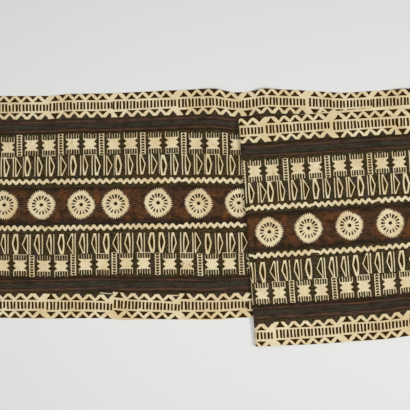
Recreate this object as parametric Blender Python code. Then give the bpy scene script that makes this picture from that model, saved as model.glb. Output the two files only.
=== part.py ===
# A long strip of printed bark cloth lying on a table, folded back on itself twice.
# From the left it runs flat as one layer, turns back in a loop at the right, comes back face down
# as the middle layer, turns again in a loop and runs right as the top layer, so that its right part
# lies in three layers. It is one sheet of beaten bark and so one solid.
# Metres, +Z up, the table is z = 0 and the origin is under the middle of the strip's bounding box.

import math
from collections import namedtuple

import bmesh
import bpy
import numpy as np

MM = 0.001

# The sheet: beaten bark of even thickness, its three layers a little apart.
SHEET_THICKNESS = 1.2 * MM
LAYER_GAP = 0.9 * MM
LAYER_STEP = SHEET_THICKNESS + LAYER_GAP
BOTTOM_HEIGHT = SHEET_THICKNESS / 2
MIDDLE_HEIGHT = BOTTOM_HEIGHT + LAYER_STEP
TOP_HEIGHT = MIDDLE_HEIGHT + LAYER_STEP

# The three runs of the centre line, seen from above: where they start and the way they point.
FREE_END_X = -470 * MM
BOTTOM_Y_AT_ZERO = 0.5 * MM
BOTTOM_SLOPE = math.radians(0.49)
LEFT_FOLD_X = 84 * MM
LEFT_FOLD_Y = -55 * MM
MIDDLE_SLOPE = math.radians(4.9)
TOP_SLOPE = math.radians(3.8)
TOP_END_X = 704 * MM

# The two loops: half their height, and how far on the layer above sinks to its own level.
RIGHT_LOOP_RADIUS = 2.9 * MM
RIGHT_LOOP_SETTLE = 110 * MM
LEFT_LOOP_RADIUS = 3.3 * MM
LEFT_LOOP_SETTLE = 105 * MM
NOSE_STEPS = 10

# The mesh: the spacing of the cross lines on a run and beside a loop, and the rows across.
RUN_STEP = 20 * MM
LOOP_SIDE_STEP = 12 * MM
ROWS_ACROSS = 18

# Half widths of the hand-beaten strip on either side of its centre line, by distance along it,
# a little uneven all along. The upper side is the far one, with the strip running to the right.
OutlineRow = namedtuple("OutlineRow", "along upper lower")
OUTLINE = [
    OutlineRow(along=0.000, upper=0.2205, lower=0.2225),
    OutlineRow(along=0.060, upper=0.2208, lower=0.2232),
    OutlineRow(along=0.160, upper=0.2202, lower=0.2255),
    OutlineRow(along=0.200, upper=0.2236, lower=0.2245),
    OutlineRow(along=0.260, upper=0.2235, lower=0.2250),
    OutlineRow(along=0.300, upper=0.2248, lower=0.2285),
    OutlineRow(along=0.380, upper=0.2282, lower=0.2280),
    OutlineRow(along=0.460, upper=0.2312, lower=0.2304),
    OutlineRow(along=0.495, upper=0.2310, lower=0.2300),
    OutlineRow(along=0.531, upper=0.2240, lower=0.2272),
    OutlineRow(along=0.560, upper=0.2248, lower=0.2270),
    OutlineRow(along=0.592, upper=0.2306, lower=0.2262),
    OutlineRow(along=0.660, upper=0.2280, lower=0.2255),
    OutlineRow(along=0.750, upper=0.2212, lower=0.2262),
    OutlineRow(along=0.812, upper=0.2246, lower=0.2270),
    OutlineRow(along=0.880, upper=0.2282, lower=0.2262),
    OutlineRow(along=1.060, upper=0.2254, lower=0.2248),
    OutlineRow(along=1.280, upper=0.2268, lower=0.2262),
    OutlineRow(along=1.600, upper=0.2268, lower=0.2252),
    OutlineRow(along=2.015, upper=0.2276, lower=0.2276),
    OutlineRow(along=2.060, upper=0.2272, lower=0.2290),
    OutlineRow(along=2.130, upper=0.2278, lower=0.2314),
    OutlineRow(along=2.280, upper=0.2266, lower=0.2308),
    OutlineRow(along=2.330, upper=0.2260, lower=0.2270),
    OutlineRow(along=2.640, upper=0.2252, lower=0.2262),
]

# Buckles that the stiff cloth keeps: low ridges that start at an edge and fade on their way in.
# x and y are the ridge's root at the edge, direction is in degrees, and reach is how far it runs.
Buckle = namedtuple("Buckle", "x y direction reach half_width height")
BUCKLES = [
    Buckle(x=-0.235, y=0.236, direction=-88, reach=0.095, half_width=0.060, height=0.0022),
    Buckle(x=0.018, y=0.240, direction=-92, reach=0.170, half_width=0.044, height=0.0065),
    Buckle(x=0.120, y=0.240, direction=-84, reach=0.150, half_width=0.040, height=0.0075),
    Buckle(x=0.402, y=0.240, direction=-98, reach=0.120, half_width=0.056, height=0.0055),
    Buckle(x=-0.140, y=-0.236, direction=94, reach=0.090, half_width=0.062, height=0.0018),
]

# Past the near edge of the first layer the two layers above sink towards the table.
SINK_DEPTH = 1.5 * MM
SINK_WIDTH = 22 * MM

BARK_COLOUR = (0.78, 0.66, 0.42, 1.0)
BARK_ROUGHNESS = 0.85

Station = namedtuple("Station", "x y height turn layer")


def smooth_step(value):
    value = np.clip(value, 0.0, 1.0)
    return value * value * (3 - 2 * value)


def blend(start, end, share):
    return start + (end - start) * float(smooth_step(share))


def bottom_y(x):
    return BOTTOM_Y_AT_ZERO + x * math.tan(BOTTOM_SLOPE)


def middle_y(x):
    return LEFT_FOLD_Y + (x - LEFT_FOLD_X) * math.tan(MIDDLE_SLOPE)


def top_y(x):
    return LEFT_FOLD_Y + (x - LEFT_FOLD_X) * math.tan(TOP_SLOPE)


def right_fold_x():
    """Where the first and the middle layer's centre lines cross, which is where the cloth turns."""
    rise = math.tan(MIDDLE_SLOPE) - math.tan(BOTTOM_SLOPE)
    return (BOTTOM_Y_AT_ZERO - LEFT_FOLD_Y + LEFT_FOLD_X * math.tan(MIDDLE_SLOPE)) / rise


def spread(start, end, fine_start=0.0, fine_end=0.0):
    """Places from start to end, closer together over fine_start and fine_end beside a loop."""
    sign = 1 if end > start else -1
    length = abs(end - start)
    marks = (0.0, fine_start, length - fine_end, length)
    steps = (LOOP_SIDE_STEP, RUN_STEP, LOOP_SIDE_STEP)
    places = [0.0]
    for low, high, step in zip(marks, marks[1:], steps):
        if high > low:
            count = math.ceil((high - low) / step)
            places += [low + (high - low) * (i + 1) / count for i in range(count)]
    return [start + sign * place for place in places]


def settled(distance, crown, level, settle):
    """Height of a layer that leaves a loop at crown and sinks to its own level over settle."""
    return blend(crown, level, distance / settle)


def nose(centre_x, centre_height, radius, side):
    """Points round a loop from below to above, without the two where it meets its runs."""
    for i in range(1, NOSE_STEPS):
        angle = -math.pi / 2 + math.pi * i / NOSE_STEPS
        yield centre_x + side * radius * math.cos(angle), centre_height + radius * math.sin(angle)


def centre_line():
    """The sheet's centre line as stations, each with the slant of the cross line there."""
    right_centre = right_fold_x() - RIGHT_LOOP_RADIUS
    left_centre = LEFT_FOLD_X + LEFT_LOOP_RADIUS
    right_turn = (BOTTOM_SLOPE + MIDDLE_SLOPE) / 2
    left_turn = (MIDDLE_SLOPE + TOP_SLOPE) / 2
    right_crown = BOTTOM_HEIGHT + 2 * RIGHT_LOOP_RADIUS
    left_crown = MIDDLE_HEIGHT + 2 * LEFT_LOOP_RADIUS
    stations = []
    for x in spread(FREE_END_X, right_centre, fine_end=2 * LOOP_SIDE_STEP):
        turn = blend(BOTTOM_SLOPE, right_turn, (x - FREE_END_X) / (right_centre - FREE_END_X))
        stations.append(Station(x, bottom_y(x), BOTTOM_HEIGHT, turn, "bottom"))
    loop_height = BOTTOM_HEIGHT + RIGHT_LOOP_RADIUS
    for x, height in nose(right_centre, loop_height, RIGHT_LOOP_RADIUS, side=1):
        stations.append(Station(x, middle_y(x), height, right_turn, "right loop"))
    for x in spread(right_centre, left_centre, RIGHT_LOOP_SETTLE, 2 * LOOP_SIDE_STEP):
        turn = blend(left_turn, right_turn, (x - left_centre) / (right_centre - left_centre))
        height = settled(right_centre - x, right_crown, MIDDLE_HEIGHT, RIGHT_LOOP_SETTLE)
        stations.append(Station(x, middle_y(x), height, turn, "middle"))
    loop_height = MIDDLE_HEIGHT + LEFT_LOOP_RADIUS
    for x, height in nose(left_centre, loop_height, LEFT_LOOP_RADIUS, side=-1):
        stations.append(Station(x, top_y(x), height, left_turn, "left loop"))
    for x in spread(left_centre, TOP_END_X, fine_start=LEFT_LOOP_SETTLE):
        turn = blend(left_turn, TOP_SLOPE, (x - left_centre) / (TOP_END_X - left_centre))
        raised = settled(right_centre - x, right_crown, MIDDLE_HEIGHT, RIGHT_LOOP_SETTLE)
        height = settled(x - left_centre, left_crown, TOP_HEIGHT, LEFT_LOOP_SETTLE)
        stations.append(Station(x, top_y(x), height + raised - MIDDLE_HEIGHT, turn, "top"))
    return stations


def lengths_along(stations):
    """Distance along the cloth from its free end to each station."""
    points = np.array([(s.x, s.y, s.height) for s in stations])
    steps = np.linalg.norm(np.diff(points, axis=0), axis=1)
    return np.concatenate([[0.0], np.cumsum(steps)])


def half_widths(along):
    known = [row.along for row in OUTLINE]
    upper = np.interp(along, known, [row.upper for row in OUTLINE])
    lower = np.interp(along, known, [row.lower for row in OUTLINE])
    return upper, lower


def buckle_height(x, y):
    """How far the buckles lift every layer over this place on the table."""
    lift = np.zeros_like(x)
    for buckle in BUCKLES:
        way = math.radians(buckle.direction)
        inward = (x - buckle.x) * math.cos(way) + (y - buckle.y) * math.sin(way)
        across = (x - buckle.x) * math.sin(way) - (y - buckle.y) * math.cos(way)
        crest = smooth_step(1 - np.maximum(inward, 0.0) / buckle.reach)
        flank = smooth_step(1 - np.abs(across) / buckle.half_width)
        lift += buckle.height * crest * flank
    return lift


def sink_depth(x, y):
    """How far a layer hanging past the first layer's near edge sinks, 0 over the first layer."""
    lower = half_widths(np.clip(x, FREE_END_X, right_fold_x()) - FREE_END_X)[1]
    overhang = bottom_y(x) - lower - y
    return SINK_DEPTH * smooth_step(overhang / SINK_WIDTH)


def sheet_points(stations):
    """The middle surface of the sheet: one line of points across for each station."""
    upper, lower = half_widths(lengths_along(stations))
    shares = np.linspace(0.0, 1.0, ROWS_ACROSS + 1)
    lines = []
    for i, station in enumerate(stations):
        across = -lower[i] + (upper[i] + lower[i]) * shares
        x = station.x - across * math.sin(station.turn)
        y = station.y + across * math.cos(station.turn)
        height = station.height + buckle_height(x, y)
        if station.layer in ("middle", "left loop", "top"):
            clear = float(smooth_step((right_fold_x() - station.x) / RIGHT_LOOP_SETTLE))
            height = height - clear * sink_depth(x, y)
        lines.append(np.column_stack([x, y, height]))
    return np.array(lines)


def centred(points):
    """Moves the points so that the middle of their box lies over the origin."""
    flat = points.reshape(-1, 3)
    middle = (flat.min(axis=0) + flat.max(axis=0)) / 2
    return points - np.array([middle[0], middle[1], 0.0])


def sheet_mesh(points):
    """A grid of quads through the points, its printed face up in the first layer."""
    mesh = bpy.data.meshes.new("bark_cloth")
    edit = bmesh.new()
    lines = [[edit.verts.new(point) for point in line] for line in points]
    for line, after in zip(lines, lines[1:]):
        for low, high, high_after, low_after in zip(line, line[1:], after[1:], after):
            edit.faces.new((low, low_after, high_after, high))
    edit.to_mesh(mesh)
    edit.free()
    return mesh


def bark_material():
    material = bpy.data.materials.new("bark_cloth")
    material.use_nodes = True
    shader = material.node_tree.nodes["Principled BSDF"]
    shader.inputs["Base Color"].default_value = BARK_COLOUR
    shader.inputs["Roughness"].default_value = BARK_ROUGHNESS
    shader.inputs["Metallic"].default_value = 0.0
    return material


def build_bark_cloth():
    cloth = bpy.data.objects.new("bark_cloth", sheet_mesh(centred(sheet_points(centre_line()))))
    bpy.context.scene.collection.objects.link(cloth)
    cloth.data.materials.append(bark_material())
    wall = cloth.modifiers.new("Thickness", "SOLIDIFY")
    wall.thickness = SHEET_THICKNESS
    wall.offset = 0.0
    wall.use_even_offset = True
    cloth.data.shade_smooth()


for old in list(bpy.data.objects):
    bpy.data.objects.remove(old)
build_bark_cloth()
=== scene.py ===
import math
import random
from collections import namedtuple

import bpy
import numpy as np
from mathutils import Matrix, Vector
from mathutils.geometry import delaunay_2d_cdt


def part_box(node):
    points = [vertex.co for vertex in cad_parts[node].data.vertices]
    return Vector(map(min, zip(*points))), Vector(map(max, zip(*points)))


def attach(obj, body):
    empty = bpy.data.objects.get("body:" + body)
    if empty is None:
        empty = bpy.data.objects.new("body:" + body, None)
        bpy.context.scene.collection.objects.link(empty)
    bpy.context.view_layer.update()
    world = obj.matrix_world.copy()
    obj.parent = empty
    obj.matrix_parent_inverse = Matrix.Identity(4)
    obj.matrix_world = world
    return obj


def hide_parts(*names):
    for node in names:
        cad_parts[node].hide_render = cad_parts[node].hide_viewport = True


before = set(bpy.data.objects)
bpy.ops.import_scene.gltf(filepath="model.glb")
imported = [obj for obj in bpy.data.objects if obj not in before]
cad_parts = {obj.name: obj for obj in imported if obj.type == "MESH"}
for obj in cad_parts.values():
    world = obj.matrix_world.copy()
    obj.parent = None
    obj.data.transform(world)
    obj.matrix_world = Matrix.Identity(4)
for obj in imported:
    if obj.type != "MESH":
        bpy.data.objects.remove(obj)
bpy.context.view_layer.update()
mm = 0.001

# how far from the strip's middle the middle of each row of the print runs, in millimetres
rowsFrom = {"border": 223.5, "stars": 121.5, "kites": 77.3, "zigzag": 46.8, "rosettes": 1.0}

# The folded strip, laid out as its solid is: x and y start from the middle of the picture,
# along is the distance on the cloth from its free end, across runs from its near to its far edge.
strip = {
    "freeEndX": -470 * mm,
    "bottomYAtZero": 0.5 * mm,
    "bottomSlope": math.radians(0.49),
    "leftFoldX": 84 * mm,
    "leftFoldY": -55 * mm,
    "middleSlope": math.radians(4.9),
    "topSlope": math.radians(3.8),
    "topEndX": 704 * mm,
    "bottomHeight": 0.5 * mm,
    "layerStep": 1.7 * mm,
    "rightLoopRadius": 2.9 * mm,
    "rightLoopSettle": 110 * mm,
    "leftLoopRadius": 3.3 * mm,
    "leftLoopSettle": 105 * mm,
    "sinkDepth": 1.0 * mm,
    "sinkWidth": 22 * mm,
    "halfWidth": rowsFrom["border"] * mm,  # the print is laid out on it, then follows the edges
    "thickness": 0.8 * mm,
    "rimBulge": 0.3,  # how far its edges round out, as a share of half its thickness
    "edgeWaves": 7 * mm,  # what the uneven edges add to its width
    "runStep": 2 * mm,
    "noseSteps": 40,
}

# half widths of the hand-beaten strip: place along, to the far edge, to the near edge
edgeRows = [
    (0.000, 0.2205, 0.2225),
    (0.060, 0.2208, 0.2232),
    (0.160, 0.2202, 0.2255),
    (0.200, 0.2236, 0.2245),
    (0.260, 0.2235, 0.2250),
    (0.300, 0.2248, 0.2285),
    (0.380, 0.2282, 0.2280),
    (0.460, 0.2312, 0.2304),
    (0.495, 0.2310, 0.2300),
    (0.531, 0.2240, 0.2272),
    (0.560, 0.2248, 0.2270),
    (0.592, 0.2306, 0.2262),
    (0.660, 0.2280, 0.2255),
    (0.750, 0.2212, 0.2262),
    (0.812, 0.2246, 0.2270),
    (0.880, 0.2282, 0.2262),
    (1.060, 0.2254, 0.2248),
    (1.280, 0.2268, 0.2262),
    (1.600, 0.2268, 0.2252),
    (1.860, 0.2266, 0.2266),
    (1.915, 0.2254, 0.2269),
    (1.965, 0.2262, 0.2272),
    (2.015, 0.2276, 0.2276),
    (2.060, 0.2272, 0.2290),
    (2.130, 0.2278, 0.2314),
    (2.280, 0.2266, 0.2308),
    (2.330, 0.2260, 0.2270),
    (2.640, 0.2252, 0.2262),
]

# low ridges that start at an edge and fade on their way in, shared by all the layers over a place
buckle = namedtuple("buckle", "x y direction reach halfWidth height")
buckles = [
    buckle(-0.235, 0.236, -88, 0.095, 0.060, 0.0022),
    buckle(0.018, 0.240, -92, 0.170, 0.044, 0.0065),
    buckle(0.120, 0.240, -84, 0.150, 0.040, 0.0075),
    buckle(0.402, 0.240, -98, 0.120, 0.056, 0.0055),
    buckle(-0.140, -0.236, 94, 0.090, 0.062, 0.0018),
]

# the cockling of the whole cloth, as crossing slow waves
cockle = namedtuple("cockle", "length direction height phase")
cockles = [
    cockle(0.210, 12, 0.00016, 0.4),
    cockle(0.128, -34, 0.00012, 2.1),
    cockle(0.083, 71, 0.00009, 4.0),
    cockle(0.057, -8, 0.00006, 1.2),
    cockle(0.041, 48, 0.00004, 5.3),
]


def smooth(value):
    value = np.clip(value, 0.0, 1.0)
    return value * value * (3 - 2 * value)


def between(start, end, share):
    return start + (end - start) * smooth(share)


def bottomY(x):
    return strip["bottomYAtZero"] + x * math.tan(strip["bottomSlope"])


def middleY(x):
    return strip["leftFoldY"] + (x - strip["leftFoldX"]) * math.tan(strip["middleSlope"])


def topY(x):
    return strip["leftFoldY"] + (x - strip["leftFoldX"]) * math.tan(strip["topSlope"])


def foldPlace():
    # the cloth turns back where the centre lines of its first two layers cross
    closing = math.tan(strip["middleSlope"]) - math.tan(strip["bottomSlope"])
    start = strip["leftFoldX"] * math.tan(strip["middleSlope"]) - strip["leftFoldY"]
    return (strip["bottomYAtZero"] + start) / closing


def centreLine():
    # x, y, height, slant of the cross line and share of the overhang's sag, all by distance along
    s = strip
    rightX = foldPlace()
    rightCentre = rightX - s["rightLoopRadius"]
    leftCentre = s["leftFoldX"] + s["leftLoopRadius"]
    rightTurn = (s["bottomSlope"] + s["middleSlope"]) / 2
    leftTurn = (s["middleSlope"] + s["topSlope"]) / 2
    middleHeight = s["bottomHeight"] + s["layerStep"]
    topHeight = middleHeight + s["layerStep"]
    rightCrown = s["bottomHeight"] + 2 * s["rightLoopRadius"]
    leftCrown = middleHeight + 2 * s["leftLoopRadius"]
    angle = np.linspace(-math.pi / 2, math.pi / 2, s["noseSteps"] + 1)[1:-1]

    def run(start, end):
        return np.linspace(start, end, int(abs(end - start) / s["runStep"]) + 2)

    def raised(x):
        # how the middle layer comes down from the first turn
        return between(rightCrown, middleHeight, (rightCentre - x) / s["rightLoopSettle"])

    pieces = []

    def lay(x, y, height, turn, hang):
        pieces.append(np.vstack(np.broadcast_arrays(x, y, height, turn, hang)))

    x = run(s["freeEndX"], rightCentre)
    turn = between(s["bottomSlope"], rightTurn, (x - x[0]) / (x[-1] - x[0]))
    lay(x, bottomY(x), s["bottomHeight"], turn, 0.0)
    x = rightCentre + s["rightLoopRadius"] * np.cos(angle)
    height = s["bottomHeight"] + s["rightLoopRadius"] * (1 + np.sin(angle))
    lay(x, middleY(x), height, rightTurn, 0.0)
    x = run(rightCentre, leftCentre)
    turn = between(leftTurn, rightTurn, (x - x[-1]) / (x[0] - x[-1]))
    hang = smooth((rightX - x) / s["rightLoopSettle"])
    lay(x, middleY(x), raised(x), turn, hang)
    x = leftCentre - s["leftLoopRadius"] * np.cos(angle)
    height = middleHeight + s["leftLoopRadius"] * (1 + np.sin(angle))
    lay(x, topY(x), height, leftTurn, 1.0)
    x = run(leftCentre, s["topEndX"])
    turn = between(leftTurn, s["topSlope"], (x - x[0]) / (x[-1] - x[0]))
    height = between(leftCrown, topHeight, (x - leftCentre) / s["leftLoopSettle"])
    hang = smooth((rightX - x) / s["rightLoopSettle"])
    lay(x, topY(x), height + raised(x) - middleHeight, turn, hang)
    line = np.hstack(pieces)
    steps = np.linalg.norm(np.diff(line[:3], axis=1), axis=0)
    return np.concatenate([[0.0], np.cumsum(steps)]), line


clothAlong, clothLine = centreLine()
clothLength = float(clothAlong[-1])
print("strip", round(clothLength, 3), "m long")


def halfWidths(along):
    known, far, near = zip(*edgeRows)
    return np.interp(along, known, far), np.interp(along, known, near)


def rise(x, y):
    # the buckles and the cockling over a place on the table
    lift = np.zeros_like(x)
    for b in buckles:
        way = math.radians(b.direction)
        inward = (x - b.x) * math.cos(way) + (y - b.y) * math.sin(way)
        aside = (x - b.x) * math.sin(way) - (y - b.y) * math.cos(way)
        crest = smooth(1 - np.maximum(inward, 0.0) / b.reach)
        lift += b.height * crest * smooth(1 - np.abs(aside) / b.halfWidth)
    for c in cockles:
        way = math.radians(c.direction)
        place = (x * math.cos(way) + y * math.sin(way)) / c.length
        lift += c.height * (1 + np.sin(2 * math.pi * place + c.phase))
    return lift


def onCloth(along, across):
    # the middle surface of the cloth at places given on the flat strip
    x0, y0, height, turn, hang = (np.interp(along, clothAlong, row) for row in clothLine)
    far, near = halfWidths(along)
    aside = across * np.where(across > 0, far, near) / strip["halfWidth"]
    x = x0 - aside * np.sin(turn)
    y = y0 + aside * np.cos(turn)
    edge = halfWidths(np.clip(x, strip["freeEndX"], foldPlace()) - strip["freeEndX"])[1]
    overhang = bottomY(x) - edge - y
    sag = strip["sinkDepth"] * hang * smooth(overhang / strip["sinkWidth"])
    return np.column_stack([x, y, height + rise(x, y) - sag])


def facing(along, across):
    # the direction that the printed side faces
    step = sheetMesh["normalStep"]
    ahead = onCloth(along + step, across) - onCloth(along - step, across)
    aside = onCloth(along, across + step) - onCloth(along, across - step)
    normal = np.cross(ahead, aside)
    return normal / np.linalg.norm(normal, axis=1)[:, None]


def placement():
    # moves the laid-out strip over its solid
    along, share = np.meshgrid(clothAlong, np.linspace(-1, 1, 41))
    points = onCloth(along.ravel(), share.ravel() * strip["halfWidth"])
    low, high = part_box("bark_cloth")
    middle = (points.min(axis=0) + points.max(axis=0)) / 2
    return np.array([(low[0] + high[0]) / 2 - middle[0], (low[1] + high[1]) / 2 - middle[1], 0.0])


toSolid = placement()


def addObject(name, data):
    ob = bpy.data.objects.new(name, data)
    bpy.context.scene.collection.objects.link(ob)
    return ob


def linear(code):
    # an sRGB hex colour as linear red, green, blue and alpha
    parts = [int(code[i : i + 2], 16) / 255 for i in (1, 3, 5)]
    return [p / 12.92 if p <= 0.04045 else ((p + 0.055) / 1.055) ** 2.4 for p in parts] + [1.0]


def addNode(tree, kind, settings=None, links=None, stops=None):
    # a node with its settings, its inputs as values or as sockets or nodes to link to, and a
    # ramp's colours
    node = tree.nodes.new(kind)
    for name, value in (settings or {}).items():
        setattr(node, name, value)
    for name, value in (links or {}).items():
        if isinstance(value, bpy.types.Node):
            value = value.outputs[0]
        if isinstance(value, bpy.types.NodeSocket):
            tree.links.new(value, node.inputs[name])
        else:
            node.inputs[name].default_value = value
    if stops:
        while len(node.color_ramp.elements) < len(stops):
            node.color_ramp.elements.new(1.0)
        for element, (position, code) in zip(node.color_ramp.elements, stops):
            element.position = position
            element.color = linear(code)
    return node


# The stencils, in millimetres: x along the strip from where the stencil is laid down, y outwards
# from the middle of its row, or from the cloth's edge for a border. Each shape is dye or bark.
def triangle(x, base, tip, half):
    # a point with slightly hollow sides
    middle = base + 0.5 * (tip - base)
    left = [(x - 0.4, tip), (x - 0.42 * half, middle), (x - half, base)]
    return left + [(x + half, base), (x + 0.42 * half, middle), (x + 0.4, tip)]


def slab(x, low, high, wide, lean=0.0, bow=0.0):
    # an upright bar with a slight bow at half its height
    middle = (low + high) / 2
    left = [(x + lean, high), (x + lean / 2 - bow, middle), (x, low)]
    return left + [(x + wide, low), (x + wide + lean / 2 - bow, middle), (x + wide + lean, high)]


borderCut = {
    "points": (9.0, 35.8, 57.8, 82.0, 105.0),  # the triangles between the zigzags and the bars
    "teeth": (24.6, 47.6, 70.6, 94.0, 118.6),  # the triangles outside each zigzag
    "ends": (-3.2, 132.0),
    "outside": -18.0,  # where the cut out band starts
    "inside": -46.5,  # how far in it reaches
    "notch": -38.4,  # and how far the teeth cut into it
    "notchHalf": (7.6, 0.8),  # at the foot of a tooth and at its tip
    "outerPoints": ((-11.2, -1.2), (-12.0, -3.0)),  # base and tip, the first one and the others
    "innerPoints": ((-35.8, -48.6), (-33.8, -41.6)),
    "pointHalf": 9.6,
    "toothHalf": 10.2,
    "bars": 19,
    "barPitch": 6.86,
    "barWidth": 4.15,
    "barMiddle": -23.2,
    "barHalf": (8.3, 6.5),  # the bars get shorter along the stencil
    "shortBar": 7,
    "shortBy": 1.9,
}


def borderStencil(stretch, late):
    # two zigzags with a ladder of bars between them: the triangles start later than the bars
    cut = borderCut
    (start, end), outside, inside, notch = cut["ends"], cut["outside"], cut["inside"], cut["notch"]
    foot, tip = cut["notchHalf"]
    rim = [(start, outside), (start, inside)]
    teeth = [x + late for x in cut["teeth"]]
    for x in teeth:
        rim += [(x - foot, inside), (x - tip, notch), (x + tip, notch), (x + foot, inside)]
    shapes = [("bark", rim + [(end, inside), (end, outside)])]
    for i, x in enumerate(late + point for point in cut["points"]):
        for points in (cut["outerPoints"], cut["innerPoints"]):
            shapes.append(("dye", triangle(x, *points[min(i, 1)], cut["pointHalf"])))
    for i, x in enumerate(teeth):
        shapes.append(("dye", triangle(x, 2.0, -7.3 + 0.4 * (i % 2), cut["toothHalf"])))
    for i in range(cut["bars"]):
        half = cut["barHalf"][0] + (cut["barHalf"][1] - cut["barHalf"][0]) * i / (cut["bars"] - 1)
        low, high = cut["barMiddle"] - half, cut["barMiddle"] + half
        wide = cut["barWidth"] + 0.45 * math.sin(2.3 * i)
        lean, bow = 0.5 * math.sin(1.7 * i), 0.35 * math.sin(3.1 * i + 1)
        if i == cut["shortBar"]:
            high -= cut["shortBy"]
        shapes.append(("dye", slab(i * cut["barPitch"], low, high, wide, lean, bow)))
    return [(tone, [(x * stretch, y) for x, y in outline]) for tone, outline in shapes]


# a thin bare line that closes off the last inner tooth of a border
lastLine = [("bark", [(107.5, -44.4), (131.0, -43.9), (131.0, -45.6), (107.5, -45.9)])]

starCut = {
    "places": (24.0, 58.5),
    "halfWide": 13.3,
    "halfHigh": 10.8,
    "notch": 7.7,
    "tines": 6,
    "tineWide": 1.5,
    "reach": 21.0,
    "columnHalf": 5.3,
    "columnReach": 21.4,
    "heads": 8,
    "headPitch": 5.3,
    "head": [
        (-4.0, -2.1), (-1.6, -2.3), (0.0, -1.5), (1.6, -2.3), (4.0, -2.1), (3.2, 0.4), (0.0, 2.8), (-3.2, 0.4)
    ],
    "comb": [(-13.2, -22.4), (13.2, -22.0), (13.2, -20.9), (-13.2, -21.2)],  # joins one star's tines
}


def starBody(x):
    wide, high, notch = starCut["halfWide"], starCut["halfHigh"], starCut["notch"]
    side = [(0.0, high - 0.5), (wide, high), (wide, high - 1.6), (notch, 5.0), (wide, 0.4), (wide, -0.4)]
    side += [(notch, -5.0), (wide, 1.6 - high), (wide, -high), (0.0, 0.5 - high)]
    return [(x + dx, y) for dx, y in side] + [(x - dx, y) for dx, y in reversed(side[1:-1])]


def starStencil(heads, thin):
    # a column of arrow heads that point outwards (1) or inwards (-1), and two combed stars, whose
    # tines are only so much of their full width
    cut = starCut
    half, reach, wide = cut["columnHalf"], cut["reach"], cut["halfWide"]
    shapes = [("bark", slab(-half, -cut["columnReach"], cut["columnReach"], 2 * half, 0.3, 0.2))]
    for i in range(cut["heads"]):
        y = (i - (cut["heads"] - 1) / 2) * cut["headPitch"]
        shapes.append(("dye", [(dx, y + heads * dy) for dx, dy in cut["head"]]))
    root = cut["halfHigh"] - 0.9  # the tines start a little inside the star
    for star, x in enumerate(cut["places"]):
        shapes.append(("bark", starBody(x)))
        for i in range(cut["tines"]):
            left = x - wide + i * (2 * wide - cut["tineWide"]) / (cut["tines"] - 1)
            narrow = thin * (cut["tineWide"] + 0.35 * math.sin(4.0 * i + x))
            short = 1.3 * math.sin(2.6 * i + x)
            bow = 0.3 * math.sin(3.3 * i + x)
            shapes.append(("bark", slab(left, root, reach - 0.6 + short, narrow, 0.2, bow)))
            shapes.append(("bark", slab(left, 0.6 - reach - short, -root, narrow, 0.2, -bow)))
        if star == 1:
            shapes.append(("bark", [(x + dx, y) for dx, y in cut["comb"]]))
    return shapes


# The kites: their outlines and holes, x as a share of their width from the straight side to the
# point, and the upright lines beside them
kiteHalf = 19.9
kiteShapes = {
    "full": (
        [
            (0.14, 20), (0.62, 20), (0.82, 10), (1.0, -1), (0.84, -11), (0.68, -20), (0.10, -20),
            (0.0, -4), (0.03, 8),
        ],
        [
            (0.40, 15), (0.60, 8), (0.79, -1), (0.62, -10), (0.46, -16.5), (0.33, -15.5), (0.20, -3),
            (0.25, 8),
        ],
    ),
    "slim": (
        [(0.05, 20), (0.34, 20), (1.0, 0), (0.54, -20), (0.10, -20), (0.02, -8), (0.02, 7)],
        [(0.21, 17), (0.28, 16), (0.80, 0), (0.52, -13), (0.30, -14.5), (0.20, 1)],
    ),
    "thin": (
        [(0.02, 20), (0.14, 20), (1.0, 0.5), (0.30, -20), (0.02, -20)],
        [(0.17, 16), (0.84, 0.5), (0.32, -15.5), (0.17, -16)],
    ),
}
kiteCut = namedtuple("kiteCut", "kind x wide")
kiteCuts = [
    kiteCut("full", 0.0, 13.6),
    kiteCut("slim", 25.3, 11.2),
    kiteCut("slim", 48.9, 12.3),
    kiteCut("thin", 72.0, 13.2),
]
lineCut = namedtuple("lineCut", "x wide")
lineCuts = [lineCut(20.2, 1.6), lineCut(43.2, 2.0), lineCut(67.0, 2.2), lineCut(87.8, 0.9)]
kiteLength = 90.6


def kiteStencil(lines):
    shapes = []
    for cut in kiteCuts:
        for tone, outline in zip(("bark", "dye"), kiteShapes[cut.kind]):
            shapes.append((tone, [(cut.x + cut.wide * u, y) for u, y in outline]))
    for i, cut in enumerate(lineCuts[:lines]):
        bow = 0.4 * math.sin(2.0 * i)
        shapes.append(("bark", slab(cut.x, -kiteHalf, kiteHalf, cut.wide, 0.4, bow)))
    return shapes


zigzagCut = {
    "swing": 2.4,
    "thick": 6.4,
    "thin": 3.6,  # at the ends of the stencil
    "endIn": -1.6,  # so far from the row's line lies an end beside an outer tooth
    "flat": 1.7,  # half the flat on each tooth
    "room": 10.0,  # an end longer than this has one more inner tooth
    "lastTooth": 6.8,  # so far from the last outer one
}
zigzagTeeth = (9.2, 21.8, 34.2, 44.8, 57.2, 70.8, 84.2, 98.4, 110.8, 125.4)  # the outer teeth
zigzagTopTeeth = (6.4, 19.2, 32.2, 45.4, 59.2, 72.4, 87.2, 99.6, 113.0)


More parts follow.
